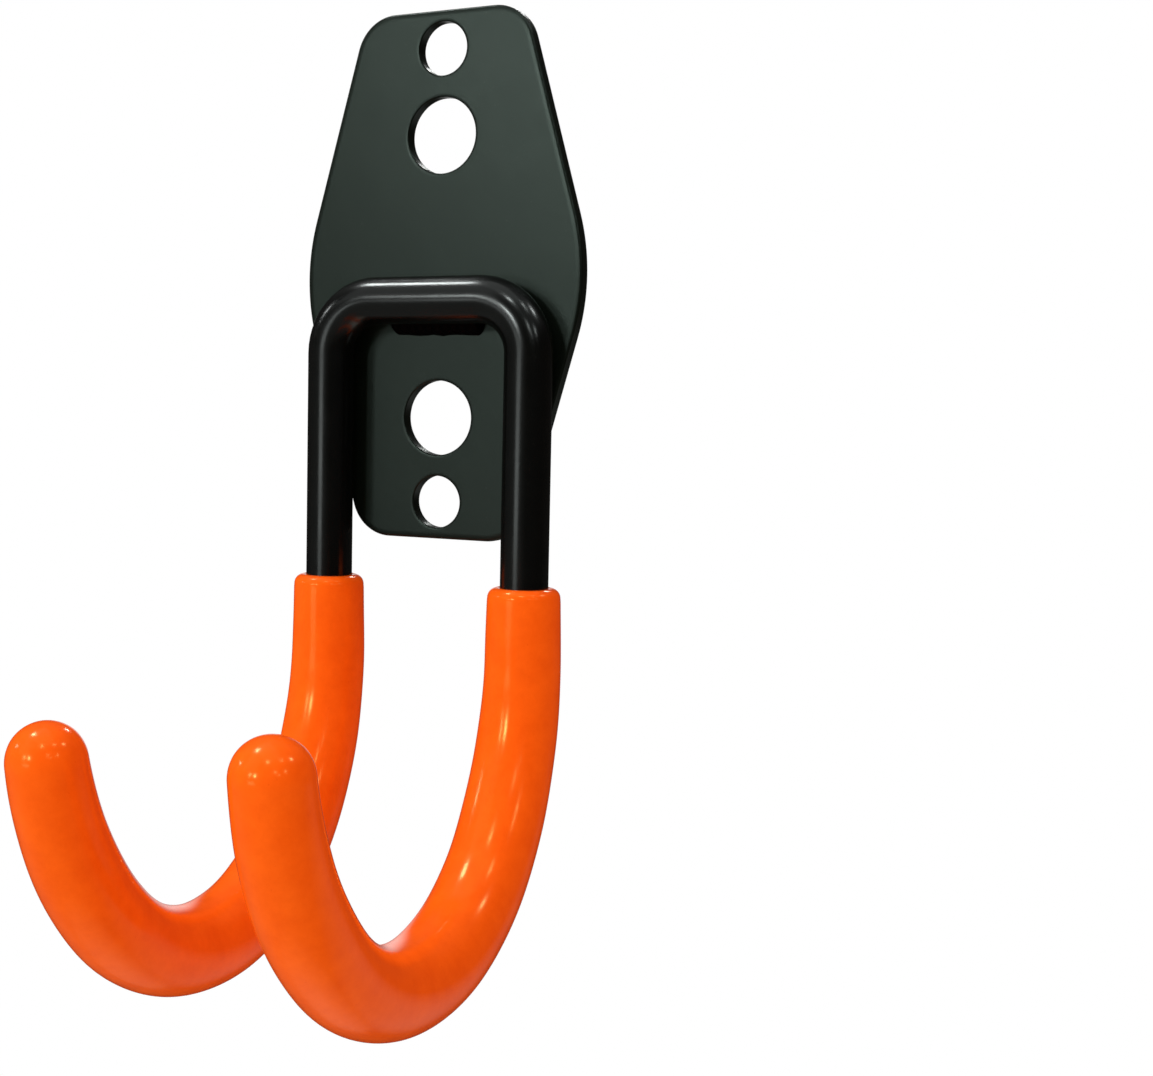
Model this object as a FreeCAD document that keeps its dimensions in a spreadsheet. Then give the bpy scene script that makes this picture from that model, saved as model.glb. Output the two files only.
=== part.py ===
"""Garage utility hook: a stamped steel wall plate, one round rod bent into two J prongs,
the weld that joins them, and a dipped vinyl sleeve on each prong.

Frame: the origin is the centre of the plate's back face, +Y points into the wall,
-Y is the side where the prongs reach out, +X is to the right and +Z is up.
"""

import FreeCAD, Part
import math
import os

import Sketcher
from FreeCAD import Vector

# Driving dimensions in millimetres and degrees
SIZES = {
    # wall plate: a long hexagon with rounded corners
    "plate_height": 70.0,
    "plate_end_width": 23.6,
    "plate_side_width": 43.5,
    "plate_thickness": 2.0,
    "plate_end_radius": 5.8,
    "plate_side_radius": 29.0,
    "front_edge_round": 0.6,
    "back_edge_round": 0.25,
    "small_hole_diameter": 7.0,
    "small_hole_inset": 5.0,
    "large_hole_diameter": 10.0,
    "large_hole_inset": 16.3,
    "hole_edge_round": 0.35,
    # bent rod: a crossbar, two legs and two prongs
    "rod_diameter": 6.3,
    "leg_spacing": 29.6,
    "crossbar_drop": 3.15,
    "corner_radius": 7.0,
    "entry_radius": 41.0,
    "entry_turn": 36.0,
    "belly_radius": 26.5,
    "belly_turn": 98.0,
    "tip_radius": 39.5,
    # the bar was not bent quite at its middle, so one prong reaches a little higher
    "left_tip_turn": 38.0,
    "right_tip_turn": 40.5,
    # dipped sleeves, thickest where the vinyl ran down to the belly of the prong
    "sleeve_below_plate": 5.4,
    "sleeve_straight": 9.15,
    "sleeve_rim_diameter": 9.6,
    "sleeve_entry_diameter": 10.0,
    "sleeve_belly_diameter": 11.1,
    "sleeve_tip_diameter": 9.3,
    "sleeve_rim_round": 1.3,
    "sleeve_end_wall": 2.6,
    # fillet weld between the plate and the underside of the crossbar
    "weld_toe": 1.4,
    "weld_root_gap": 1.0,
    "weld_crown_angle": 70.0,
    "weld_face_radius": 3.5,
    "weld_end_margin": 0.8,
}

# Formulas that more than one piece is bound to
ROD_RADIUS = "Sizes.rod_diameter / 2"
ROD_STANDOFF = "(Sizes.plate_thickness + Sizes.rod_diameter / 2)"
RIM_LEVEL = "(-Sizes.plate_height / 2 - Sizes.sleeve_below_plate)"
ROD_OVERRUN = "(Sizes.sleeve_tip_diameter / 2 - Sizes.sleeve_end_wall)"
SIDES = {"left": -1, "right": 1}
UP = Vector(0, 0, 1)

doc = FreeCAD.newDocument("garage_utility_hook")
sheet = doc.addObject("Spreadsheet::Sheet", "Sizes")
for row, (alias, value) in enumerate(SIZES.items(), start=1):
    sheet.set(f"A{row}", alias)
    sheet.set(f"B{row}", str(value))
    sheet.setAlias(f"B{row}", alias)
doc.recompute()


def size(alias):
    """The value of one driving dimension."""
    return float(sheet.get(alias))


def new_body(label):
    """An empty body whose label is the name of the piece."""
    body = doc.addObject("PartDesign::Body", label)
    body.Label = label
    return body


def new_sketch(body, name, plane, offset=None):
    """A sketch on one of the body's own planes, moved along it by formulas for x, y or z."""
    sketch = body.newObject("Sketcher::SketchObject", name)
    support = next(f for f in body.Origin.OriginFeatures if f.Role == plane)
    sketch.AttachmentSupport = [(support, "")]
    sketch.MapMode = "FlatFace"
    for axis, formula in (offset or {}).items():
        sketch.setExpression(f"AttachmentOffset.Base.{axis}", formula)
    return sketch


def bind(sketch, formula, *constraint):
    """Adds a dimension to the sketch and ties it to a formula of the sheet."""
    index = sketch.addConstraint(Sketcher.Constraint(*constraint))
    sketch.setExpression(f"Constraints[{index}]", formula)


def edges_where(feature, wanted):
    """Names of the feature's edges that pass a test."""
    named = enumerate(feature.Shape.Edges, start=1)
    return [f"Edge{number}" for number, edge in named if wanted(edge)]


def add_fillet(body, name, wanted, radius):
    """Rounds the edges of the body's last feature that pass a test."""
    doc.recompute()
    base = body.Tip
    fillet = body.newObject("PartDesign::Fillet", name)
    fillet.Base = (base, edges_where(base, wanted))
    fillet.setExpression("Radius", radius)
    doc.recompute()
    return fillet


def centred_circle(sketch, radius):
    """Draws a circle about the sketch's own origin; radius is a formula."""
    ring = sketch.addGeometry(Part.Circle(Vector(0, 0, 0), UP, 1.0))
    sketch.addConstraint(Sketcher.Constraint("Coincident", ring, 3, -1, 1))
    bind(sketch, radius, "Radius", ring, 1.0)
    return sketch


def add_pipe(body, kind, name, section, path, sections=()):
    """Sweeps a section along a path; further sections, if any, shape it on the way."""
    doc.recompute()
    pipe = body.newObject(f"PartDesign::{kind}Pipe", name)
    pipe.Profile = section
    pipe.Spine = (path, [f"Edge{n + 1}" for n in range(len(path.Shape.Edges))])
    if sections:
        pipe.Transformation = "Multisection"
        pipe.Sections = list(sections)
    doc.recompute()
    return pipe


def plate_outline(body):
    """The plate's outline before its corners are rounded: six lines, the same both ways up."""
    end = size("plate_end_width") / 2
    side = size("plate_side_width") / 2
    top = size("plate_height") / 2
    corners = [(-end, top), (end, top), (side, 0), (end, -top), (-end, -top), (-side, 0)]
    sketch = new_sketch(body, "plate_outline", "XZ_Plane")
    points = [Vector(x, z, 0) for x, z in corners]
    for n, point in enumerate(points):
        sketch.addGeometry(Part.LineSegment(point, points[(n + 1) % len(points)]))
    for n in range(len(points)):
        following = (n + 1) % len(points)
        sketch.addConstraint(Sketcher.Constraint("Coincident", n, 2, following, 1))
    sketch.addConstraint(Sketcher.Constraint("Symmetric", 0, 1, 0, 2, -2))
    sketch.addConstraint(Sketcher.Constraint("Symmetric", 3, 1, 3, 2, -2))
    sketch.addConstraint(Sketcher.Constraint("Symmetric", 0, 1, 3, 2, -1))
    sketch.addConstraint(Sketcher.Constraint("Symmetric", 1, 2, 4, 2, -1, 1))
    sketch.addConstraint(Sketcher.Constraint("PointOnObject", 1, 2, -1))
    bind(sketch, "Sizes.plate_end_width", "DistanceX", 0, 1, 0, 2, 2 * end)
    bind(sketch, "Sizes.plate_height", "DistanceY", 3, 2, 0, 1, 2 * top)
    bind(sketch, "Sizes.plate_side_width", "DistanceX", 4, 2, 1, 2, 2 * side)
    return sketch


def hole_row(body):
    """Two small holes outside and two large ones inside, on the plate's upright centre line,
    each pair set in from the plate's ends."""
    sketch = new_sketch(body, "hole_row", "XZ_Plane")
    for hole in ("small", "large"):
        reach = size("plate_height") / 2 - size(f"{hole}_hole_inset")
        radius = size(f"{hole}_hole_diameter") / 2
        rings = [
            sketch.addGeometry(Part.Circle(Vector(0, z, 0), UP, radius))
            for z in (-reach, reach)
        ]
        lower, upper = rings
        sketch.addConstraint(Sketcher.Constraint("PointOnObject", upper, 3, -2))
        sketch.addConstraint(Sketcher.Constraint("Symmetric", lower, 3, upper, 3, -1, 1))
        sketch.addConstraint(Sketcher.Constraint("Equal", lower, upper))
        bind(sketch, f"Sizes.{hole}_hole_diameter", "Diameter", upper, 2 * radius)
        spacing = f"Sizes.plate_height - 2 * Sizes.{hole}_hole_inset"
        bind(sketch, spacing, "DistanceY", lower, 3, upper, 3, 2 * reach)
    return sketch


def across_the_plate(edge):
    """An edge that runs through the plate's thickness."""
    start, end = edge.Vertexes[0].Point, edge.Vertexes[-1].Point
    return abs(start.x - end.x) + abs(start.z - end.z) < 1e-6 < abs(start.y - end.y)


def lies_at(edge, y):
    """An edge whose ends all lie at one depth."""
    return all(abs(vertex.Y - y) < 1e-6 for vertex in edge.Vertexes)


def lies_level(edge, z):
    """An edge whose ends all lie at one height."""
    return all(abs(vertex.Z - z) < 1e-6 for vertex in edge.Vertexes)


def make_wall_plate():
    """The stamped plate that the screws hold to the wall."""
    body = new_body("wall_plate")
    blank = body.newObject("PartDesign::Pad", "plate_blank")
    blank.Profile = plate_outline(body)
    blank.setExpression("Length", "Sizes.plate_thickness")
    quarter = size("plate_height") / 4
    add_fillet(
        body,
        "end_corners",
        lambda edge: across_the_plate(edge) and abs(edge.CenterOfMass.z) > quarter,
        "Sizes.plate_end_radius",
    )
    add_fillet(
        body,
        "side_corners",
        lambda edge: across_the_plate(edge) and abs(edge.CenterOfMass.z) < quarter / 2,
        "Sizes.plate_side_radius",
    )
    solid_volume = body.Shape.Volume
    holes = body.newObject("PartDesign::Pocket", "screw_holes")
    holes.Profile = hole_row(body)
    holes.Type = "ThroughAll"
    holes.Reversed = True
    doc.recompute()
    if body.Shape.Volume > solid_volume - 1.0:
        raise RuntimeError("the screw holes cut nothing from the plate")
    front = -size("plate_thickness")
    add_fillet(
        body,
        "front_edge",
        lambda edge: lies_at(edge, front) and not edge.isClosed(),
        "Sizes.front_edge_round",
    )
    add_fillet(
        body,
        "back_edge",
        lambda edge: lies_at(edge, 0.0) and not edge.isClosed(),
        "Sizes.back_edge_round",
    )
    add_fillet(
        body,
        "hole_edges",
        lambda edge: edge.isClosed() and isinstance(edge.Curve, Part.Circle),
        "Sizes.hole_edge_round",
    )
    return body


def hanger_path(body):
    """The upper rod in its own plane: up one leg, over the crossbar and down the other."""
    half = size("leg_spacing") / 2
    top = -size("crossbar_drop")
    bottom = -size("plate_height") / 2 - size("sleeve_below_plate")
    corner = size("corner_radius")
    sketch = new_sketch(body, "hanger_path", "XZ_Plane", {"z": ROD_STANDOFF})
    left_centre = Vector(-half + corner, top - corner, 0)
    right_centre = Vector(half - corner, top - corner, 0)
    quarter_turn = math.pi / 2
    for piece in (
        Part.LineSegment(Vector(-half, bottom, 0), Vector(-half, top - corner, 0)),
        Part.ArcOfCircle(Part.Circle(left_centre, UP, corner), quarter_turn, math.pi),
        Part.LineSegment(Vector(-half + corner, top, 0), Vector(half - corner, top, 0)),
        Part.ArcOfCircle(Part.Circle(right_centre, UP, corner), 0.0, quarter_turn),
        Part.LineSegment(Vector(half, top - corner, 0), Vector(half, bottom, 0)),
    ):
        sketch.addGeometry(piece)
    left_leg, left_corner, crossbar, right_corner, right_leg = range(5)
    for ends in (
        (left_leg, 2, left_corner, 2),
        (left_corner, 1, crossbar, 1),
        (crossbar, 2, right_corner, 2),
        (right_corner, 1, right_leg, 1),
    ):
        sketch.addConstraint(Sketcher.Constraint("Tangent", *ends))
    sketch.addConstraint(Sketcher.Constraint("Vertical", left_leg))
    sketch.addConstraint(Sketcher.Constraint("Equal", left_corner, right_corner))
    sketch.addConstraint(Sketcher.Constraint("Symmetric", left_leg, 1, right_leg, 2, -2))
    bind(sketch, "Sizes.corner_radius", "Radius", left_corner, corner)
    bind(sketch, "Sizes.leg_spacing", "DistanceX", left_leg, 1, right_leg, 2, 2 * half)
    bind(sketch, "-Sizes.crossbar_drop", "DistanceY", -1, 1, crossbar, 1, top)
    bind(sketch, RIM_LEVEL, "DistanceY", -1, 1, left_leg, 1, bottom)
    return sketch


def prong_path(body, name, side, overrun="0"):
    """One prong in its own upright plane: down from the sleeve's rim, then three arcs that
    carry it forward and up again. The last arc ends before the rod does by the overrun."""
    sketch = new_sketch(body, name, "YZ_Plane", {"z": side_offset(side)})
    depth = -size("plate_thickness") - size("rod_diameter") / 2
    rim = -size("plate_height") / 2 - size("sleeve_below_plate")
    point = Vector(depth, rim - size("sleeve_straight"), 0)
    leg = sketch.addGeometry(Part.LineSegment(Vector(depth, rim, 0), point))
    sketch.addConstraint(Sketcher.Constraint("Vertical", leg))
    bind(sketch, f"-{ROD_STANDOFF}", "DistanceX", -1, 1, leg, 1, depth)
    bind(sketch, RIM_LEVEL, "DistanceY", -1, 1, leg, 1, rim)
    bind(sketch, "Sizes.sleeve_straight", "DistanceY", leg, 2, leg, 1, size("sleeve_straight"))
    tip = f"{side}_tip_turn"
    formulas = {
        "entry": ("entry_turn", "Sizes.entry_turn"),
        "belly": ("belly_turn", "Sizes.belly_turn"),
        "tip": (tip, f"Sizes.{tip} - {overrun} / Sizes.tip_radius * 180 / pi"),
    }
    heading = 0.0
    previous = (leg, 2)
    for stretch, (alias, formula) in formulas.items():
        radius = size(f"{stretch}_radius")
        turn = math.radians(size(alias))
        centre = point + Vector(-math.cos(heading), math.sin(heading), 0) * radius
        circle = Part.Circle(centre, UP, radius)
        arc = sketch.addGeometry(Part.ArcOfCircle(circle, -heading - turn, -heading))
        sketch.addConstraint(Sketcher.Constraint("Tangent", *previous, arc, 2))
        bind(sketch, f"Sizes.{stretch}_radius", "Radius", arc, radius)
        bind(sketch, formula, "Angle", arc, turn)
        heading += turn
        point = centre + Vector(math.cos(heading), -math.sin(heading), 0) * radius
        previous = (arc, 1)
    return sketch


def side_offset(side):
    """The formula for how far to the right a prong stands."""
    return f"{SIDES[side]} * Sizes.leg_spacing / 2"


def rim_circle(body, name, side, radius):
    """A circle around the rod where a sleeve's rim is."""
    where = {"x": side_offset(side), "y": f"-{ROD_STANDOFF}", "z": RIM_LEVEL}
    sketch = new_sketch(body, name, "XY_Plane", where)
    return centred_circle(sketch, radius)


def circle_on_path(body, name, path, edge, position, radius):
    """A circle square to a path; position runs from 1 at an arc's start to 0 at its end."""
    sketch = body.newObject("Sketcher::SketchObject", name)
    sketch.AttachmentSupport = [(path, edge)]
    sketch.MapMode = "NormalToEdge"
    sketch.MapPathParameter = position
    return centred_circle(sketch, radius)


def make_bent_rod():
    """The rod: crossbar and legs lie on the plate, and a prong goes on from each leg."""
    body = new_body("bent_rod")
    section = rim_circle(body, "hanger_section", "left", ROD_RADIUS)
    add_pipe(body, "Additive", "hanger", section, hanger_path(body))
    for side in SIDES:
        section = rim_circle(body, f"{side}_prong_section", side, ROD_RADIUS)
        path = prong_path(body, f"{side}_prong_path", side)
        add_pipe(body, "Additive", f"{side}_prong", section, path)
    return body


def make_sleeve(side):
    """The vinyl skin of one prong, thin at its rim, full at the belly, with a domed end."""
    body = new_body(f"{side}_sleeve")
    path = prong_path(body, f"{side}_sleeve_path", side, ROD_OVERRUN)
    rim = rim_circle(body, f"{side}_rim", side, "Sizes.sleeve_rim_diameter / 2")
    doc.recompute()
    sections = [
        circle_on_path(body, f"{side}_{place}", path, edge, position, formula)
        for place, edge, position, formula in (
            ("entry", "Edge2", 1.0, "Sizes.sleeve_entry_diameter / 2"),
            ("belly", "Edge3", 0.5, "Sizes.sleeve_belly_diameter / 2"),
            ("tip", "Edge4", 0.0, "Sizes.sleeve_tip_diameter / 2"),
        )
    ]
    add_pipe(body, "Additive", f"{side}_skin", rim, path, sections)
    dome = body.newObject("PartDesign::AdditiveSphere", f"{side}_dome")
    dome.AttachmentSupport = [(path, "Edge4")]
    dome.MapMode = "NormalToEdge"
    dome.MapPathParameter = 0.0
    dome.Angle1 = 0.0
    dome.Angle2 = 90.0
    dome.setExpression("Radius", "Sizes.sleeve_tip_diameter / 2")
    doc.recompute()
    level = -size("plate_height") / 2 - size("sleeve_below_plate")
    add_fillet(
        body,
        f"{side}_rim_round",
        lambda edge: lies_level(edge, level),
        "Sizes.sleeve_rim_round",
    )
    solid_volume = body.Shape.Volume
    section = rim_circle(body, f"{side}_bore_section", side, ROD_RADIUS)
    bore_path = prong_path(body, f"{side}_bore_path", side)
    add_pipe(body, "Subtractive", f"{side}_bore", section, bore_path)
    if body.Shape.Volume > solid_volume - 1.0:
        raise RuntimeError(f"the bore cuts nothing from the {side} sleeve")
    return body


def weld_section(body):
    """The weld's outline: on the plate, on the rod, and a round face between its two toes."""
    sketch = new_sketch(body, "weld_section", "YZ_Plane")
    rod = size("rod_diameter") / 2
    face = size("weld_face_radius")
    plate = -size("plate_thickness")
    centre = Vector(plate - rod, -size("crossbar_drop"), 0)
    root_angle = -math.asin(size("weld_root_gap") / rod)
    crown_angle = -math.radians(size("weld_crown_angle"))
    root = Vector(plate, centre.y - size("weld_root_gap"), 0)
    toe = Vector(plate, centre.y - rod - size("weld_toe"), 0)
    rod_root = centre + Vector(math.cos(root_angle), math.sin(root_angle), 0) * rod
    crown = centre + Vector(math.cos(crown_angle), math.sin(crown_angle), 0) * rod
    chord = toe - crown
    inward = Vector(-chord.y, chord.x, 0).normalize()
    face_centre = (toe + crown) * 0.5 + inward * math.sqrt(face**2 - (chord.Length / 2) ** 2)
    face_start = math.atan2(crown.y - face_centre.y, crown.x - face_centre.x)
    face_end = math.atan2(toe.y - face_centre.y, toe.x - face_centre.x)
    face_circle = Part.Circle(face_centre, UP, face)
    rod_circle = Part.Circle(centre, UP, rod)
    for piece in (
        Part.LineSegment(root, toe),
        Part.ArcOfCircle(face_circle, face_start, face_end),
        Part.ArcOfCircle(rod_circle, crown_angle, root_angle),
        Part.LineSegment(rod_root, root),
    ):
        sketch.addGeometry(piece)
    on_plate, cap, on_rod, gap = range(4)
    for ends in (
        (on_plate, 2, cap, 2),
        (cap, 1, on_rod, 1),
        (on_rod, 2, gap, 1),
        (gap, 2, on_plate, 1),
    ):
        sketch.addConstraint(Sketcher.Constraint("Coincident", *ends))
    sketch.addConstraint(Sketcher.Constraint("Vertical", on_plate))
    sketch.addConstraint(Sketcher.Constraint("Horizontal", gap))
    drop = "-Sizes.crossbar_drop"
    bind(sketch, "-Sizes.plate_thickness", "DistanceX", -1, 1, on_plate, 1, plate)
    bind(sketch, f"{drop} - Sizes.weld_root_gap", "DistanceY", -1, 1, on_plate, 1, root.y)
    toe_level = f"{drop} - {ROD_RADIUS} - Sizes.weld_toe"
    bind(sketch, toe_level, "DistanceY", -1, 1, on_plate, 2, toe.y)
    bind(sketch, f"-{ROD_STANDOFF}", "DistanceX", -1, 1, on_rod, 3, centre.x)
    bind(sketch, drop, "DistanceY", -1, 1, on_rod, 3, centre.y)
    bind(sketch, ROD_RADIUS, "Radius", on_rod, rod)
    bind(sketch, "Sizes.weld_face_radius", "Radius", cap, face)
    reach = f"{ROD_RADIUS} * cos(Sizes.weld_crown_angle)"
    bind(sketch, reach, "DistanceX", on_rod, 3, on_rod, 1, crown.x - centre.x)
    return sketch


def make_weld_bead():
    """The fillet weld that fills the corner between the plate and the crossbar's underside."""
    body = new_body("weld_bead")
    bead = body.newObject("PartDesign::Pad", "bead")
    bead.Profile = weld_section(body)
    bead.SideType = "Symmetric"
    straight = "Sizes.leg_spacing - 2 * Sizes.corner_radius"
    bead.setExpression("Length", f"{straight} - 2 * Sizes.weld_end_margin")
    doc.recompute()
    return body


pieces = [make_wall_plate(), make_bent_rod(), make_weld_bead()]
pieces += [make_sleeve(side) for side in SIDES]
doc.recompute()

for thing in doc.Objects:
    if "Invalid" in thing.State or "Error" in thing.State:
        raise RuntimeError(f"{thing.Label} did not recompute: {thing.State}")
for piece in pieces:
    shape = piece.Shape
    if shape.isNull() or not shape.isValid() or len(shape.Solids) != 1:
        raise RuntimeError(f"{piece.Label} is not one valid solid")

os.makedirs("parts", exist_ok=True)
for piece in pieces:
    piece.Shape.exportStep(f"parts/{piece.Label}.step")
    box = piece.Shape.BoundBox
    print(piece.Label, round(piece.Shape.Volume, 1), box)
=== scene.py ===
"""Garage utility hook, dressed over its CAD frame.

Metres, in the frame's own axes: the origin is on the wall, -Y is towards the room,
+X is to the right and +Z is up.
"""

import math
from functools import reduce

import bpy
import numpy as np
from mathutils import Matrix, Vector
from mathutils.geometry import delaunay_2d_cdt


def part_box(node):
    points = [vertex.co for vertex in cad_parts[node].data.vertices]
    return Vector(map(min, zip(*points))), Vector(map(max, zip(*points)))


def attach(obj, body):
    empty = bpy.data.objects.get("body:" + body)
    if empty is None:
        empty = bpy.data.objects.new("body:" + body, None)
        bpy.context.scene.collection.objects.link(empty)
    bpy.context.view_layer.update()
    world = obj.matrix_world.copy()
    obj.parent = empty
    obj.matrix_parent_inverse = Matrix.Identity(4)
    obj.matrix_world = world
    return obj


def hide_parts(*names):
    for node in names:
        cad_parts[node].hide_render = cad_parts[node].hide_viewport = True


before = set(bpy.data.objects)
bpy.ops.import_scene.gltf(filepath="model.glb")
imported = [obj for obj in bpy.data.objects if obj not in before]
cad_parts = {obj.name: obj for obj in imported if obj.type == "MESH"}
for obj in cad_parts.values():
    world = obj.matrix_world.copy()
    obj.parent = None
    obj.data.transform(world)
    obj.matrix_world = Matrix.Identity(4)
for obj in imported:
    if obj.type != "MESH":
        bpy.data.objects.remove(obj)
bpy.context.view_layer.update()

MM = 0.001
RIGHT_ANGLE = math.radians(90.0)

# Sizes that the frame tells
plate_low, plate_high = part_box("wall_plate")
PLATE_HALF_HEIGHT = plate_high.z
PLATE_THICKNESS = -plate_low.y
RIM_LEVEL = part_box("left_sleeve")[1].z

# The plate's outline and holes, with the CAD model's sizes
PLATE_END_HALF_WIDTH = 11.8 * MM
PLATE_SIDE_HALF_WIDTH = 21.75 * MM
PLATE_END_RADIUS = 5.8 * MM
PLATE_SIDE_RADIUS = 29.0 * MM
SMALL_HOLE_RADIUS = 3.5 * MM
SMALL_HOLE_LEVEL = PLATE_HALF_HEIGHT - 5.0 * MM
LARGE_HOLE_RADIUS = 5.0 * MM
LARGE_HOLE_LEVEL = PLATE_HALF_HEIGHT - 16.3 * MM
HOLES = (
    (SMALL_HOLE_LEVEL, SMALL_HOLE_RADIUS),
    (LARGE_HOLE_LEVEL, LARGE_HOLE_RADIUS),
    (-LARGE_HOLE_LEVEL, LARGE_HOLE_RADIUS),
    (-SMALL_HOLE_LEVEL, SMALL_HOLE_RADIUS),
)

# The plate's edges, finer than the CAD model's: stamping draws the front face in a little
# along every cut edge, before the edge's own round
FRONT_EDGE_ROUND = 0.4 * MM
BACK_EDGE_ROUND = 0.25 * MM
HOLE_FRONT_ROUND = 0.2 * MM
HOLE_BACK_ROUND = 0.35 * MM
EDGE_DIP_WIDTH = 0.6 * MM
HOLE_DIP_WIDTH = 0.3 * MM
EDGE_DIP_SLOPE = math.radians(9.0)

# The rod, with the CAD model's sizes: each bend of a prong has a radius and a turn in degrees.
# The last bend's turn differs between the left prong, -1, and the right one, 1
ROD_RADIUS = 3.15 * MM
ROD_DEPTH = -(PLATE_THICKNESS + ROD_RADIUS)
HALF_SPACING = 14.8 * MM
CROSSBAR_LEVEL = -3.15 * MM
CORNER_RADIUS = 7.0 * MM
BENDS = ((41.0 * MM, 36.0), (26.5 * MM, 98.0))
TIP_RADIUS = 39.5 * MM
TIP_TURNS = {-1: 38.0, 1: 40.5}

# The sleeves, with the CAD model's sizes: their radius is given at the rim, where the first bend
# starts, where the belly starts, at its middle, where it ends and at the tip
SLEEVE_STRAIGHT = 9.15 * MM
SLEEVE_RADII = (4.8 * MM, 5.0 * MM, 5.43 * MM, 5.55 * MM, 5.35 * MM, 4.65 * MM)
SLEEVE_RIM_ROUND = 1.3 * MM
SLEEVE_END_WALL = 2.6 * MM
BORE_CLEARANCE = 0.01 * MM

# Slow waves that the dipping left in the skin: their height, how fast they turn along the prong
# in radians per metre, and the radii between which they set in
WAVE_HEIGHT = 0.012 * MM
LENGTH_WAVE = 550.0
SPIRAL_WAVE = 230.0
LOBE_WAVE = 310.0
WAVE_RADII = (3.6 * MM, 4.6 * MM)

# The weld, with the CAD model's sizes, and the wander and ripples of a bead laid by hand
WELD_END_MARGIN = 0.8 * MM
WELD_ROOT_GAP = 1.0 * MM
WELD_TOE = 1.4 * MM
WELD_CROWN_ANGLE = math.radians(-70.0)
WELD_BULGE = 0.16 * MM
WELD_END_LENGTH = 1.1 * MM
WELD_END_SHARE = 0.35
TOE_WANDER = 0.1 * MM
TOE_KNOTS = 12
TOE_SEED = 7
RIPPLE_PITCH = 1.25 * MM
RIPPLE_BOW = 0.45 * MM
RIPPLE_HEIGHT = 0.14 * MM

# How finely the meshes are divided
PATH_STEP = 0.8 * MM
END_CORNER_STEPS = 14
SIDE_CORNER_STEPS = 20
EDGE_STEPS = 6
HOLE_SEGMENTS = 96
ROD_SEGMENTS = 64
SLEEVE_SEGMENTS = 96
BORE_RINGS = 80
SKIN_RINGS = 200
RIM_STEPS = 10
DOME_STEPS = 24
WELD_STEPS = 120
WELD_FACE_STEPS = 14
WELD_ROD_STEPS = 6

# delaunay_2d_cdt: keep the triangles inside the loops, and join points nearer than this
INSIDE_LOOPS = 1
JOIN_DISTANCE = 0.0000001 * MM


def new_object(name, vertices, faces, material, normals=None):
    """A mesh object in the scene, shaded smooth."""
    mesh = bpy.data.meshes.new(name)
    mesh.from_pydata([tuple(vertex) for vertex in vertices], [], faces)
    mesh.validate()
    mesh.polygons.foreach_set("use_smooth", [True] * len(mesh.polygons))
    mesh.materials.append(material)
    if normals is not None:
        mesh.normals_split_custom_set_from_vertices([tuple(normal) for normal in normals])
    mesh.update()
    piece = bpy.data.objects.new(name, mesh)
    bpy.context.scene.collection.objects.link(piece)
    return piece


def ring_angles(count):
    """Even angles round a full turn."""
    return np.linspace(0, 2 * math.pi, count, endpoint=False)


def quarter_turn(steps, start=0.0):
    """Even angles from a start to a right angle, both included."""
    return [start + (RIGHT_ANGLE - start) * n / steps for n in range(steps + 1)]


def rings_to_faces(ring_count, size):
    """Quads between neighbouring closed rings of points."""
    faces = []
    for ring in range(ring_count - 1):
        for n in range(size):
            a = ring * size + n
            b = ring * size + (n + 1) % size
            faces.append((a, b, b + size, a + size))
    return faces


def cap(first, size, turn):
    """One face over a closed ring of points, facing the other way with a turn of -1."""
    return tuple(range(first, first + size))[::turn]


def tube(points, first_ways, second_ways, reaches):
    """Rings of points round a path, turning from its first ways to its second ones.
    Each ring has a row of reaches, one for each angle."""
    angles = ring_angles(reaches.shape[1])[:, None]
    spokes = first_ways[:, None] * np.cos(angles) + second_ways[:, None] * np.sin(angles)
    return (points[:, None] + spokes * reaches[:, :, None]).reshape(-1, 3)


def walk(start, heading, moves):
    """Points and headings of a flat path made of ("line", length) and ("arc", radius, turn)."""
    points = [np.array(start, float)]
    headings = [math.radians(heading)]
    for kind, *size in moves:
        turn = math.radians(size[1]) if kind == "arc" else 0.0
        length = abs(turn) * size[0] if kind == "arc" else size[0]
        count = max(2, math.ceil(length / PATH_STEP))
        chord = 2 * size[0] * math.sin(abs(turn) / count / 2) if kind == "arc" else length / count
        for _ in range(count):
            middle = headings[-1] + turn / count / 2
            points.append(points[-1] + chord * np.array([math.cos(middle), math.sin(middle)]))
            headings.append(headings[-1] + turn / count)
    return np.array(points), np.array(headings)


def prong_line(side, shortfall=0.0):
    """Centreline and tangents of one prong, from the sleeve's rim to a shortfall before the
    rod's end."""
    moves = [("line", SLEEVE_STRAIGHT)]
    moves += [("arc", radius, -turn) for radius, turn in BENDS]
    moves.append(("arc", TIP_RADIUS, -TIP_TURNS[side] + math.degrees(shortfall / TIP_RADIUS)))
    flat, headings = walk((ROD_DEPTH, RIM_LEVEL), -90.0, moves)
    across = np.full(len(flat), side * HALF_SPACING)
    points = np.column_stack([across, flat])
    tangents = np.column_stack([0 * across, np.cos(headings), np.sin(headings)])
    return points, tangents


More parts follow.
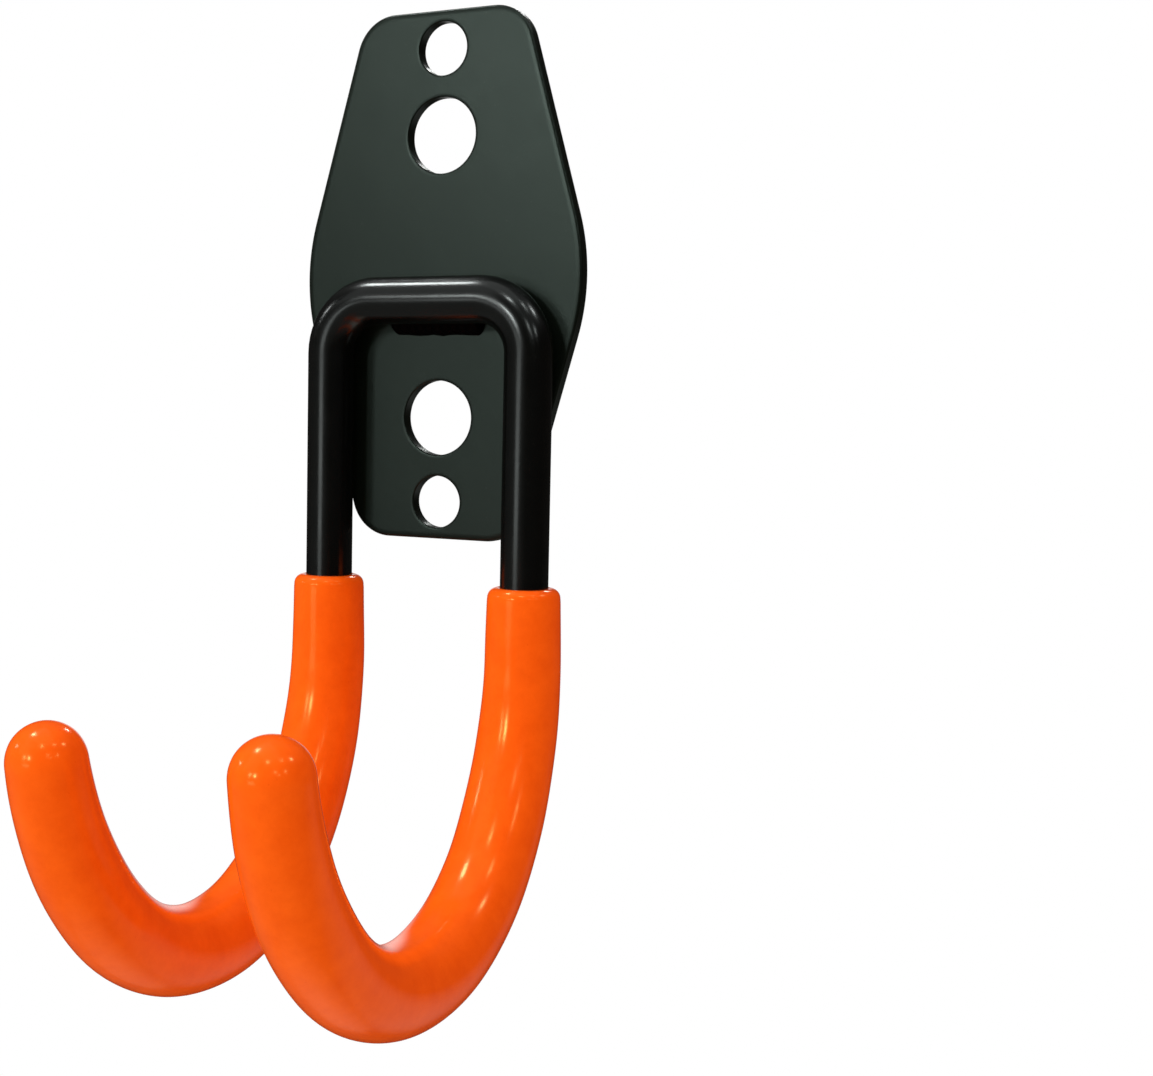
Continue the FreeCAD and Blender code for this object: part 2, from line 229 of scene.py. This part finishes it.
def rod_line():
    """Centreline and tangents of the whole rod, from the left prong's end to the right one's."""
    leg = CROSSBAR_LEVEL - CORNER_RADIUS - RIM_LEVEL
    moves = [
        ("line", leg),
        ("arc", CORNER_RADIUS, -90.0),
        ("line", 2 * (HALF_SPACING - CORNER_RADIUS)),
        ("arc", CORNER_RADIUS, -90.0),
        ("line", leg),
    ]
    flat, headings = walk((-HALF_SPACING, RIM_LEVEL), 90.0, moves)
    depth = np.full(len(flat), ROD_DEPTH)
    hanger = np.column_stack([flat[:, 0], depth, flat[:, 1]])
    hanger_tangents = np.column_stack([np.cos(headings), 0 * depth, np.sin(headings)])
    left, left_tangents = prong_line(-1)
    right, right_tangents = prong_line(1)
    points = np.vstack([left[::-1], hanger[1:-1], right])
    tangents = np.vstack([-left_tangents[::-1], hanger_tangents[1:-1], right_tangents])
    return points, tangents


def steady_normals(tangents, first_normal):
    """A normal and a binormal for each tangent, carried along with the least twist."""
    normal = np.array(first_normal, float)
    normals = []
    for tangent in tangents:
        normal = normal - tangent * (normal @ tangent)
        normal /= np.linalg.norm(normal)
        normals.append(normal)
    normals = np.array(normals)
    return normals, np.cross(tangents, normals)


def path_length(points):
    """The length of a path of straight steps."""
    return np.linalg.norm(np.diff(points, axis=0), axis=1).sum()


def along(line_points, line_tangents, distances):
    """Points and tangents at distances along a path, carried on straight beyond its end."""
    steps = np.linalg.norm(np.diff(line_points, axis=0), axis=1)
    marks = np.concatenate([[0], np.cumsum(steps)])
    points = np.column_stack([np.interp(distances, marks, column) for column in line_points.T])
    tangents = np.column_stack([np.interp(distances, marks, column) for column in line_tangents.T])
    tangents /= np.linalg.norm(tangents, axis=1)[:, None]
    beyond = np.clip(np.array(distances) - marks[-1], 0, None)
    return points + tangents * beyond[:, None], tangents


def smooth_curve(marks, values, x):
    """A smooth curve through a few values at their marks, with no overshoot between them."""
    marks = np.array(marks)
    values = np.array(values)
    slopes = np.diff(values) / np.diff(marks)
    inner = [0.0 if a * b <= 0 else 2 * a * b / (a + b) for a, b in zip(slopes, slopes[1:])]
    grades = np.array([slopes[0], *inner, slopes[-1]])
    k = np.clip(np.searchsorted(marks, x) - 1, 0, len(marks) - 2)
    width = marks[k + 1] - marks[k]
    t = (x - marks[k]) / width
    first = (2 * t**3 - 3 * t**2 + 1) * values[k] + (t**3 - 2 * t**2 + t) * width * grades[k]
    second = (3 * t**2 - 2 * t**3) * values[k + 1] + (t**3 - t**2) * width * grades[k + 1]
    return first + second


# The wall plate


def outline_ring(inset):
    """The plate's rounded hexagon, drawn in by an inset: points and outward normals in X and Z."""
    ends = (PLATE_END_RADIUS, END_CORNER_STEPS)
    sides = (PLATE_SIDE_RADIUS, SIDE_CORNER_STEPS)
    corners = [
        (PLATE_END_HALF_WIDTH, PLATE_HALF_HEIGHT, *ends),
        (-PLATE_END_HALF_WIDTH, PLATE_HALF_HEIGHT, *ends),
        (-PLATE_SIDE_HALF_WIDTH, 0.0, *sides),
        (-PLATE_END_HALF_WIDTH, -PLATE_HALF_HEIGHT, *ends),
        (PLATE_END_HALF_WIDTH, -PLATE_HALF_HEIGHT, *ends),
        (PLATE_SIDE_HALF_WIDTH, 0.0, *sides),
    ]
    points = []
    normals = []
    for n, (x, z, radius, steps) in enumerate(corners):
        here = np.array([x, z])
        before = np.array(corners[n - 1][:2]) - here
        after = np.array(corners[(n + 1) % len(corners)][:2]) - here
        before /= np.linalg.norm(before)
        after /= np.linalg.norm(after)
        half = math.acos(before @ after) / 2
        bisector = (before + after) / np.linalg.norm(before + after)
        centre = here + bisector * radius / math.sin(half)
        first = here + before * radius / math.tan(half) - centre
        last = here + after * radius / math.tan(half) - centre
        start = math.atan2(first[1], first[0])
        sweep = (math.atan2(last[1], last[0]) - start + math.pi) % (2 * math.pi) - math.pi
        for step in range(steps + 1):
            angle = start + sweep * step / steps
            normal = np.array([math.cos(angle), math.sin(angle)])
            points.append(centre + normal * (radius - inset))
            normals.append(normal)
    return np.array(points), np.array(normals)


def hole_ring(level, radius):
    """A function that gives one hole's circle, widened by an inset, as outline_ring does."""
    angles = ring_angles(HOLE_SEGMENTS)
    spokes = np.column_stack([np.cos(angles), np.sin(angles)])

    def ring(inset):
        return spokes * (radius + inset) + np.array([0, level]), -spokes

    return ring


def edge_profile(front_round, back_round, dip_width):
    """A cut edge's section from the front face to the back. Each point has its inset from the
    edge, its depth, and the shares of its normal that point outwards and backwards."""
    dip = dip_width * math.tan(EDGE_DIP_SLOPE) / 2
    dip_end = front_round * (1 - math.sin(EDGE_DIP_SLOPE))
    centre_depth = -PLATE_THICKNESS + dip + front_round * math.cos(EDGE_DIP_SLOPE)
    profile = []
    for n in range(EDGE_STEPS):
        share = n / EDGE_STEPS
        slope = math.atan(math.tan(EDGE_DIP_SLOPE) * share)
        inset = dip_end + dip_width - dip_width * share
        depth = -PLATE_THICKNESS + dip * share**2
        profile.append((inset, depth, math.sin(slope), -math.cos(slope)))
    for angle in quarter_turn(EDGE_STEPS, EDGE_DIP_SLOPE):
        inset = front_round * (1 - math.sin(angle))
        depth = centre_depth - front_round * math.cos(angle)
        profile.append((inset, depth, math.sin(angle), -math.cos(angle)))
    for angle in quarter_turn(EDGE_STEPS):
        inset = back_round * (1 - math.cos(angle))
        depth = -back_round * (1 - math.sin(angle))
        profile.append((inset, depth, math.cos(angle), math.sin(angle)))
    return profile


def flat_fill(vertices, loops, mouths, facing):
    """Triangles between the first loop of a flat face and the others, which are its holes.
    Mouths are the holes' levels and radii, and facing is the face's side along Y."""
    flat = []
    index = []
    edges = []
    for loop in loops:
        first = len(flat)
        for n, vertex in enumerate(loop):
            flat.append(Vector((vertices[vertex][0], vertices[vertex][2])))
            index.append(vertex)
            edges.append((first + n, first + (n + 1) % len(loop)))
    _, _, triangles, *_ = delaunay_2d_cdt(flat, edges, [], INSIDE_LOOPS, JOIN_DISTANCE)
    faces = []
    for triangle in triangles:
        a, b, c = (flat[n] for n in triangle)
        middle = (a + b + c) / 3
        if any((middle - Vector((0, level))).length < radius for level, radius in mouths):
            continue
        turn = (b - a).cross(c - a)
        order = triangle if turn * -facing > 0 else triangle[::-1]
        faces.append(tuple(index[n] for n in order))
    return faces


def make_plate(material):
    """The stamped plate: flat faces, a rounded rim and four holes with softly rounded edges."""
    rim_profile = edge_profile(FRONT_EDGE_ROUND, BACK_EDGE_ROUND, EDGE_DIP_WIDTH)
    hole_profile = edge_profile(HOLE_FRONT_ROUND, HOLE_BACK_ROUND, HOLE_DIP_WIDTH)
    walls = [(rim_profile, outline_ring, -1)]
    walls += [(hole_profile, hole_ring(level, radius), 1) for level, radius in HOLES]
    vertices = []
    normals = []
    faces = []
    front_loops = []
    back_loops = []
    for profile, ring, turn in walls:
        base = len(vertices)
        for inset, depth, outward, backward in profile:
            points, directions = ring(inset)
            for (x, z), (right, up) in zip(points, directions):
                vertices.append((x, depth, z))
                normals.append((right * outward, backward, up * outward))
        size = (len(vertices) - base) // len(profile)
        for quad in rings_to_faces(len(profile), size):
            faces.append(tuple(base + corner for corner in quad)[::turn])
        front_loops.append(range(base, base + size))
        back_loops.append(range(len(vertices) - size, len(vertices)))
    chord_share = math.cos(math.pi / HOLE_SEGMENTS)
    for loops, facing, inset in (
        (front_loops, -1, hole_profile[0][0]),
        (back_loops, 1, hole_profile[-1][0]),
    ):
        mouths = [(level, (radius + inset) * chord_share) for level, radius in HOLES]
        faces += flat_fill(vertices, loops, mouths, facing)
    return new_object("wall_plate_painted", vertices, faces, material, normals)


# The bent rod


def make_rod(material):
    """The round bar, one bent piece, painted."""
    points, tangents = rod_line()
    normals, binormals = steady_normals(tangents, (1, 0, 0))
    reaches = np.full((len(points), ROD_SEGMENTS), ROD_RADIUS)
    vertices = tube(points, normals, binormals, reaches)
    faces = rings_to_faces(len(points), ROD_SEGMENTS)
    faces.append(cap(0, ROD_SEGMENTS, -1))
    faces.append(cap(len(vertices) - ROD_SEGMENTS, ROD_SEGMENTS, 1))
    return new_object("bent_rod_painted", vertices, faces, material)


# The sleeves


def skin_waves(distances, radii, side):
    """How far the vinyl's skin falls short of an even one, at each distance and angle."""
    distances = distances[:, None]
    angles = ring_angles(SLEEVE_SEGMENTS)
    waves = np.sin(LENGTH_WAVE * distances + side)
    waves = waves + np.sin(SPIRAL_WAVE * distances + 2 * angles)
    waves = waves + np.sin(LOBE_WAVE * distances + 3 * angles + 2 * side)
    return WAVE_HEIGHT * (3 + waves) * np.interp(radii, WAVE_RADII, (0, 1))[:, None]


def bore_profile(end):
    """Distances and radii of a sleeve's bore, from its end to the rim."""
    radius = ROD_RADIUS + BORE_CLEARANCE
    return [(end, radius / 2)] + [(distance, radius) for distance in np.linspace(end, 0, BORE_RINGS)]


def skin_profile(end):
    """Distances and radii of a sleeve's skin: the rounded rim, the belly and the dome."""
    entry, belly = (math.radians(turn) * radius for radius, turn in BENDS)
    entry += SLEEVE_STRAIGHT
    marks = (0, SLEEVE_STRAIGHT, entry, entry + belly / 2, entry + belly, end)
    rim_radius = SLEEVE_RADII[0] - SLEEVE_RIM_ROUND
    dome_radius = SLEEVE_RADII[-1]
    profile = []
    for angle in quarter_turn(RIM_STEPS):
        distance = SLEEVE_RIM_ROUND * (1 - math.cos(angle))
        profile.append((distance, rim_radius + SLEEVE_RIM_ROUND * math.sin(angle)))
    distances = np.linspace(SLEEVE_RIM_ROUND, end, SKIN_RINGS)[1:]
    profile += zip(distances, smooth_curve(marks, SLEEVE_RADII, distances))
    for angle in quarter_turn(DOME_STEPS)[1:-1]:
        profile.append((end + dome_radius * math.sin(angle), dome_radius * math.cos(angle)))
    return profile


def make_sleeve(name, side, material):
    """The dipped skin of one prong: a bore, a rounded rim, a full belly and a domed end."""
    dome_radius = SLEEVE_RADII[-1]
    bore_line = prong_line(side)
    skin_line = prong_line(side, dome_radius - SLEEVE_END_WALL)
    bore_end, skin_end = (path_length(points) for points, _ in (bore_line, skin_line))
    bore = bore_profile(bore_end)
    skin = skin_profile(skin_end)
    vertices = []
    for line, profile in ((bore_line, bore), (skin_line, skin)):
        distances, radii = np.array(profile).T
        points, tangents = along(*line, distances)
        across = np.broadcast_to((1.0, 0.0, 0.0), tangents.shape)
        reaches = radii[:, None] - skin_waves(distances, radii, side)
        vertices += list(tube(points, across, np.cross(tangents, across), reaches))
    faces = rings_to_faces(len(bore) + len(skin), SLEEVE_SEGMENTS)
    last = len(vertices) - SLEEVE_SEGMENTS
    ends = ((0, bore_end, bore_line, -1), (last, skin_end + dome_radius, skin_line, 1))
    for first, distance, line, turn in ends:
        point, _ = along(*line, [distance])
        for n in range(SLEEVE_SEGMENTS):
            fan = (first + n, first + (n + 1) % SLEEVE_SEGMENTS, len(vertices))
            faces.append(fan[::turn])
        vertices.append(point[0])
    return new_object(name, vertices, faces, material)


# The weld


def make_weld(material):
    """The fillet weld under the crossbar, with the ripples of a bead laid by hand."""
    half = HALF_SPACING - CORNER_RADIUS - WELD_END_MARGIN
    root = np.array([-PLATE_THICKNESS, CROSSBAR_LEVEL - WELD_ROOT_GAP])
    centre = np.array([ROD_DEPTH, CROSSBAR_LEVEL])
    root_angle = -math.asin(WELD_ROOT_GAP / ROD_RADIUS)

    def on_rod(share):
        """A point on the rod's surface, from the weld's crown at 0 to its root at 1."""
        angle = WELD_CROWN_ANGLE + (root_angle - WELD_CROWN_ANGLE) * share
        return centre + ROD_RADIUS * np.array([math.cos(angle), math.sin(angle)])

    crown = on_rod(0)
    shares = np.linspace(0, 1, WELD_STEPS + 1)
    knots = np.random.default_rng(TOE_SEED).uniform(-1, 1, TOE_KNOTS)
    wander = TOE_WANDER * np.interp(shares, np.linspace(0, 1, TOE_KNOTS), knots)
    toe_levels = CROSSBAR_LEVEL - ROD_RADIUS - WELD_TOE + wander
    vertices = []
    for x, toe_level in zip(-half + 2 * half * shares, toe_levels):
        toe = np.array([-PLATE_THICKNESS, toe_level])
        face = crown - toe
        away = np.array([face[1], -face[0]]) / np.linalg.norm(face)
        if away @ (crown - root) < 0:
            away = -away
        ring = [root]
        for t in np.linspace(0, 1, WELD_FACE_STEPS + 1):
            crescent = math.sin(math.pi * t)
            ripple = abs(math.sin(math.pi * (x + RIPPLE_BOW * crescent) / RIPPLE_PITCH))
            bulge = (WELD_BULGE + RIPPLE_HEIGHT * ripple) * crescent
            ring.append(toe + face * t + away * bulge)
        ring += [on_rod(k / WELD_ROD_STEPS) for k in range(1, WELD_ROD_STEPS + 1)]
        nearness = 1 - min(1.0, min(x + half, half - x) / WELD_END_LENGTH)
        fade = math.sqrt(max(0.0, 1 - nearness**2))
        scale = WELD_END_SHARE + (1 - WELD_END_SHARE) * fade
        vertices += [(x, *(root + (point - root) * scale)) for point in ring]
    size = len(ring)
    faces = [face[::-1] for face in rings_to_faces(WELD_STEPS + 1, size)]
    faces.append(cap(0, size, 1))
    faces.append(cap(size * WELD_STEPS, size, -1))
    return new_object("weld_bead_painted", vertices, faces, material)


# Materials

DUST = (0.045, 0.05, 0.048, 1)
DEEP_ORANGE = (0.86, 0.104, 0.004, 1)
BRIGHT_ORANGE = (0.94, 0.129, 0.006, 1)
SPECK_ORANGE = (0.8, 0.075, 0.003, 1)

# A Mix node's sockets for its first and second input and its result, by the kind of data
MIX_SOCKETS = {"FLOAT": (2, 3, 0), "RGBA": (6, 7, 2)}


class Nodes:
    """A short way to build the node tree of a material or a world."""

    def __init__(self, owner, empty=False):
        owner.use_nodes = True
        self.tree = owner.node_tree
        if empty:
            self.tree.nodes.clear()
        self.place = self.add("ShaderNodeTexCoord").outputs

    def add(self, kind, inputs=None, **settings):
        """A node with its settings, and its inputs set to values or linked to outputs."""
        node = self.tree.nodes.new(kind)
        for key, value in settings.items():
            setattr(node, key, value)
        for key, value in (inputs or {}).items():
            self.feed(node.inputs[key], value)
        return node

    def feed(self, socket, value):
        """Links an output to a socket, or sets the socket to a value."""
        if isinstance(value, bpy.types.NodeSocket):
            self.tree.links.new(value, socket)
        else:
            socket.default_value = value

    def noise(self, scale, detail, roughness=0.5):
        """Noise between 0 and 1 through the object's own space."""
        values = {
            "Vector": self.place["Object"],
            "Scale": scale,
            "Detail": detail,
            "Roughness": roughness,
        }
        return self.add("ShaderNodeTexNoise", values).outputs["Fac"]

    def between(self, value, low, high, to_low=0.0, to_high=1.0):
        """Maps a value from one range to another, held at its ends."""
        values = {
            "Value": value,
            "From Min": low,
            "From Max": high,
            "To Min": to_low,
            "To Max": to_high,
        }
        return self.add("ShaderNodeMapRange", values).outputs["Result"]

    def mix(self, kind, share, first, second):
        """A number ("FLOAT") or colour ("RGBA") between two others."""
        node = self.add("ShaderNodeMix", {0: share}, data_type=kind)
        first_socket, second_socket, result = MIX_SOCKETS[kind]
        self.feed(node.inputs[first_socket], first)
        self.feed(node.inputs[second_socket], second)
        return node.outputs[result]

    def larger(self, first, second):
        """The larger of two numbers."""
        return self.add("ShaderNodeMath", {0: first, 1: second}, operation="MAXIMUM").outputs[0]

    def bump(self, height, distance, strength, normal=None):
        """A normal that follows a height, on top of another normal if there is one."""
        values = {"Height": height, "Distance": distance, "Strength": strength}
        if normal is not None:
            values["Normal"] = normal
        return self.add("ShaderNodeBump", values).outputs["Normal"]

    def rays(self):
        """1 for rays that mirror or see through something, and 1 for rays from the camera."""
        path = self.add("ShaderNodeLightPath").outputs
        return self.larger(path["Is Glossy Ray"], path["Is Transmission Ray"]), path["Is Camera Ray"]

    def coat(self, colour, gloss, normal, tint, index):
        """Gives the material's own shader a colour, a roughness, a normal and a mirror's tint."""
        values = {
            "Base Color": colour,
            "Roughness": gloss,
            "Normal": normal,
            "Specular Tint": (*tint, 1),
            "IOR": index,
        }
        for key, value in values.items():
            self.feed(self.tree.nodes["Principled BSDF"].inputs[key], value)


def paint(name, deep, light, rough, peel, index, tint=(1, 1, 1)):
    """Black paint over steel: a faint orange peel, dust specks and uneven gloss."""
    material = bpy.data.materials.new(name)
    nodes = Nodes(material)
    cloud = nodes.between(nodes.noise(scale=60.0, detail=3.0, roughness=0.6), 0.35, 0.7)
    dust = nodes.between(nodes.noise(scale=2600.0, detail=1.0), 0.74, 0.82, to_high=0.2)
    colour = nodes.mix("RGBA", cloud, (*deep, 1), (*light, 1))
    colour = nodes.mix("RGBA", dust, colour, DUST)
    gloss = nodes.between(nodes.noise(scale=300.0, detail=4.0, roughness=0.6), 0.25, 0.75, *rough)
    fine_peel = nodes.noise(scale=650.0, detail=2.0, roughness=0.55)
    broad_peel = nodes.noise(scale=90.0, detail=1.0)
    normal = nodes.bump(fine_peel, distance=0.02 * MM, strength=peel)
    normal = nodes.bump(broad_peel, distance=0.1 * MM, strength=peel, normal=normal)
    nodes.coat(colour, gloss, normal, tint, index)
    return material


def vinyl(name):
    """Glossy dipped vinyl: bright orange, a little deeper in places, its gloss faintly uneven."""
    material = bpy.data.materials.new(name)
    nodes = Nodes(material)
    cloud = nodes.between(nodes.noise(scale=300.0, detail=5.0, roughness=0.7), 0.3, 0.7)
    specks = nodes.between(nodes.noise(scale=2200.0, detail=1.0), 0.75, 0.8, to_high=0.5)
    colour = nodes.mix("RGBA", cloud, DEEP_ORANGE, BRIGHT_ORANGE)
    colour = nodes.mix("RGBA", specks, colour, SPECK_ORANGE)
    gloss = nodes.noise(scale=160.0, detail=3.0, roughness=0.6)
    gloss = nodes.between(gloss, 0.3, 0.75, to_low=0.14, to_high=0.2)
    fine_waves = nodes.noise(scale=420.0, detail=2.0)
    broad_waves = nodes.noise(scale=70.0, detail=1.0)
    normal = nodes.bump(fine_waves, distance=0.02 * MM, strength=0.4)
    normal = nodes.bump(broad_waves, distance=0.1 * MM, strength=0.3, normal=normal)
    nodes.coat(colour, gloss, normal, tint=(1, 0.86, 0.26), index=1.4)
    return material


plate_paint = paint(
    "plate_paint",
    deep=(0.001, 0.0024, 0.0017),
    light=(0.002, 0.004, 0.003),
    rough=(0.315, 0.345),
    peel=0.5,
    index=1.43,
    tint=(0.76, 1, 0.88),
)
rod_paint = paint(
    "rod_paint",
    deep=(0.0006, 0.0008, 0.001),
    light=(0.0012, 0.0015, 0.0018),
    rough=(0.19, 0.25),
    peel=0.35,
    index=1.55,
    tint=(0.92, 1, 0.98),
)
weld_paint = paint(
    "weld_paint",
    deep=(0.0006, 0.0006, 0.0008),
    light=(0.0012, 0.0012, 0.0016),
    rough=(0.38, 0.46),
    peel=0.6,
    index=1.08,
)
sleeve_vinyl = vinyl("sleeve_vinyl")

# The pieces, each in the place of its CAD node, which is hidden, and with its material's name
dressed = (
    (make_plate(plate_paint), "wall_plate", "plate_paint"),
    (make_rod(rod_paint), "bent_rod", "rod_paint"),
    (make_weld(weld_paint), "weld_bead", "weld_paint"),
    (make_sleeve("left_sleeve_dipped", -1, sleeve_vinyl), "left_sleeve", "sleeve_vinyl"),
    (make_sleeve("right_sleeve_dipped", 1, sleeve_vinyl), "right_sleeve", "sleeve_vinyl"),
)
for piece, node, slot in dressed:
    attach(piece, "root")
    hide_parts(node)

# The floor: what it is for soft light and what is seen or mirrored of it, and its glow to the
# camera and, at its middle, in mirrors
FLOOR_MIDDLE = (0.0, -0.03, -0.45)
FLOOR_RADIUS = 0.2
FLOOR_SEGMENTS = 64
FLOOR_COLOUR = (0.8, 0.8, 0.8, 1)
SEEN_FLOOR_COLOUR = (0.25, 0.25, 0.25, 1)
SEEN_FLOOR_GLOW = 0.8
MIRRORED_FLOOR_GLOW = 0.5


def make_floor():
    """A pale disc under the hook: white where it is seen, but for the shadow on it, and fading
    towards its rim where it is mirrored."""
    material = bpy.data.materials.new("floor")
    nodes = Nodes(material, empty=True)
    mirrored, from_camera = nodes.rays()
    aside = {0: nodes.place["Object"], 1: FLOOR_MIDDLE}
    aside = nodes.add("ShaderNodeVectorMath", aside, operation="DISTANCE").outputs["Value"]
    fade = nodes.between(aside, 0.0, FLOOR_RADIUS, MIRRORED_FLOOR_GLOW, 0.0)
    glow = {"Strength": nodes.mix("FLOAT", from_camera, fade, SEEN_FLOOR_GLOW)}
    glow = nodes.add("ShaderNodeEmission", glow).outputs[0]
    shade = nodes.add("ShaderNodeBsdfDiffuse", {"Color": SEEN_FLOOR_COLOUR}).outputs[0]
    looked_at = nodes.add("ShaderNodeAddShader", {0: shade, 1: glow}).outputs[0]
    pale = nodes.add("ShaderNodeBsdfDiffuse", {"Color": FLOOR_COLOUR}).outputs[0]
    surface = {0: nodes.larger(mirrored, from_camera), 1: pale, 2: looked_at}
    surface = nodes.add("ShaderNodeMixShader", surface).outputs[0]
    nodes.add("ShaderNodeOutputMaterial", {"Surface": surface})
    angles = ring_angles(FLOOR_SEGMENTS)
    rim = np.column_stack([np.cos(angles), np.sin(angles), 0 * angles]) * FLOOR_RADIUS
    new_object("floor", rim + FLOOR_MIDDLE, [cap(0, FLOOR_SEGMENTS, 1)], material)


# The world, by direction: each glow has the direction of its middle, the nearness to it (the
# cosine of the angle between) at which it starts and is full, and its value at the two.
# The first ones are what the object mirrors, and the next ones light it softly.
MIRRORED = {
    "backdrop": ((-0.485, 0.875, 0.0), 0.97, 0.999, 0.02, 1.0),
    "ceiling": ((0.0, 0.0, 1.0), 0.3, 1.0, 0.0, 0.2),
    "ground": ((-0.35, -0.5, -0.79), 0.3, 0.8, 0.0, 0.15),
    "ground_behind": ((0.49, 0.59, -0.64), 0.84, 0.96, 0.0, 0.4),
    "left_wall": ((-0.87, -0.5, 0.0), 0.5, 0.95, 0.0, 0.05),
}
SOFT_LIGHT = {
    "front_left": ((-0.5, -0.73, -0.46), -0.3, 1.0, 0.0, 1.0),
    "below": ((0.55, 0.25, -0.8), 0.1, 1.0, 0.0, 0.65),
    "above": ((-0.35, -0.3, 0.89), 0.5, 1.0, 0.0, 1.2),
}
DARK_CORNER = ((0.67, -0.45, 0.59), 0.1, 0.9, 0.0, 1.0)
SOFT_COLOUR = (1.04, 0.96, 0.7, 1)
WARM_COLOUR = (0.68, 0.31, 0.08, 1)
DARK_COLOUR = (0.38, 0.08, 0.02, 1)


def make_world():
    """White to the camera. Mirrored, it is a white backdrop behind the hook and a dim room before
    it. As soft light it is pale from the front left, above and below, and warm and dimmer from
    elsewhere, most of all from the upper right."""
    world = bpy.data.worlds.new("studio")
    bpy.context.scene.world = world
    nodes = Nodes(world, empty=True)
    mirrored, from_camera = nodes.rays()

    def glow(toward, start, full, low, high):
        """A value that grows as a direction nears the one given."""
        nearness = {0: nodes.place["Generated"], 1: toward}
        nearness = nodes.add("ShaderNodeVectorMath", nearness, operation="DOT_PRODUCT")
        return nodes.between(nearness.outputs["Value"], start, full, low, high)

    room = reduce(nodes.larger, [glow(*values) for values in MIRRORED.values()])
    strength = nodes.mix("FLOAT", from_camera, room, 1.0)
    looked_at = {"Color": (1, 1, 1, 1), "Strength": strength}
    looked_at = nodes.add("ShaderNodeBackground", looked_at).outputs[0]

    share = reduce(nodes.larger, [glow(*values) for values in SOFT_LIGHT.values()])
    colour = nodes.mix("RGBA", glow(*DARK_CORNER), WARM_COLOUR, DARK_COLOUR)
    colour = nodes.mix("RGBA", share, colour, SOFT_COLOUR)
    soft = nodes.add("ShaderNodeBackground", {"Color": colour, "Strength": 1.0}).outputs[0]

    surface = {0: nodes.larger(mirrored, from_camera), 1: soft, 2: looked_at}
    surface = nodes.add("ShaderNodeMixShader", surface).outputs[0]
    nodes.add("ShaderNodeOutputWorld", {"Surface": surface})


# Lamps by direction: azimuth (0 in front, -90 at the left) and elevation, the width and height
# that they fill, all in degrees, and their brightness. A height of 0 stands for a round lamp.
LAMPS = {
    "window": (-20, -2, 18, 8, 2.6),
    "panel": (-36, 37, 34, 36, 0.36),
    "ceiling": (-30, 78, 60, 40, 0.4),
    "spot_left_high": (-77, 61, 9, 0, 33.0),
    "spot_right_high": (72, 57, 6, 0, 14.0),
    "spot_front_high": (16, 54, 6, 0, 26.0),
    "spot_far_left": (-72, 23, 6, 0, 14.0),
    "spot_front": (-26, 14.5, 8, 0, 12.5),
    "spot_edge": (-12, 15.5, 6, 0, 50.0),
    "spot_right": (41, 28.5, 4, 0, 22.0),
    "spot_far_right": (70, 27, 4, 0, 22.0),
    "spot_right_low": (48, 21, 3, 0, 12.0),
    "spot_behind": (-170, 34.5, 6, 0, 34.0),
    "spot_behind_right": (110, 48, 6, 0, 28.0),
}
LAMP_DISTANCE = 1.5
LAMP_AIM = Vector((0, -0.02, -0.04))


def filled(degrees):
    """The width that fills an angle at the lamps' distance."""
    return 2 * LAMP_DISTANCE * math.tan(math.radians(degrees / 2))


def make_lamps():
    """The lamps that the object mirrors, all at one distance and turned towards it."""
    for name, (azimuth, elevation, width, height, brightness) in LAMPS.items():
        turn = math.radians(azimuth)
        rise = math.radians(elevation)
        level = math.cos(rise)
        away = Vector((math.sin(turn) * level, -math.cos(turn) * level, math.sin(rise)))
        lamp = bpy.data.lights.new(name, "AREA")
        lamp.size = filled(width)
        if height:
            lamp.shape = "RECTANGLE"
            lamp.size_y = filled(height)
            area = lamp.size * lamp.size_y
        else:
            lamp.shape = "DISK"
            area = math.pi * lamp.size**2 / 4
        lamp.energy = brightness * math.pi * area
        holder = bpy.data.objects.new(name, lamp)
        holder.location = LAMP_AIM + away * LAMP_DISTANCE
        holder.rotation_mode = "QUATERNION"
        holder.rotation_quaternion = away.to_track_quat("Z", "Y")
        holder.visible_camera = False
        bpy.context.scene.collection.objects.link(holder)


# The photo's size and its camera's focal length and principal point, in pixels, then the camera's
# place in metres and its yaw to the left, pitch down and roll
IMAGE = (1153.0, 1076.0)
FOCAL_LENGTH = 1776.107
PRINCIPAL_POINT = (400.0, 538.0)
EYE = Vector((111.926, -213.304, -14.91)) * MM
YAW, PITCH, ROLL = (math.radians(angle) for angle in (29.052, 4.795, 0.782))


def make_camera():
    """The scene's camera, with the lens shift that the photo's framing needs."""
    level = math.cos(PITCH)
    forward = Vector((-math.sin(YAW) * level, math.cos(YAW) * level, -math.sin(PITCH)))
    flat_right = Vector((math.cos(YAW), math.sin(YAW), 0))
    flat_up = flat_right.cross(forward)
    right = math.cos(ROLL) * flat_right + math.sin(ROLL) * flat_up
    up = math.cos(ROLL) * flat_up - math.sin(ROLL) * flat_right
    lens = bpy.data.cameras.new("camera")
    lens.lens = FOCAL_LENGTH * lens.sensor_width / IMAGE[0]
    lens.shift_x = (IMAGE[0] / 2 - PRINCIPAL_POINT[0]) / IMAGE[0]
    lens.shift_y = (PRINCIPAL_POINT[1] - IMAGE[1] / 2) / IMAGE[0]
    lens.clip_start = 5 * MM
    camera = bpy.data.objects.new("camera", lens)
    axes = Matrix((right, up, -forward)).transposed().to_4x4()
    camera.matrix_world = Matrix.Translation(EYE) @ axes
    bpy.context.scene.collection.objects.link(camera)
    bpy.context.scene.camera = camera


make_floor()
make_world()
make_lamps()
make_camera()
bpy.context.scene.view_settings.view_transform = "Standard"

bpy.context.view_layer.update()
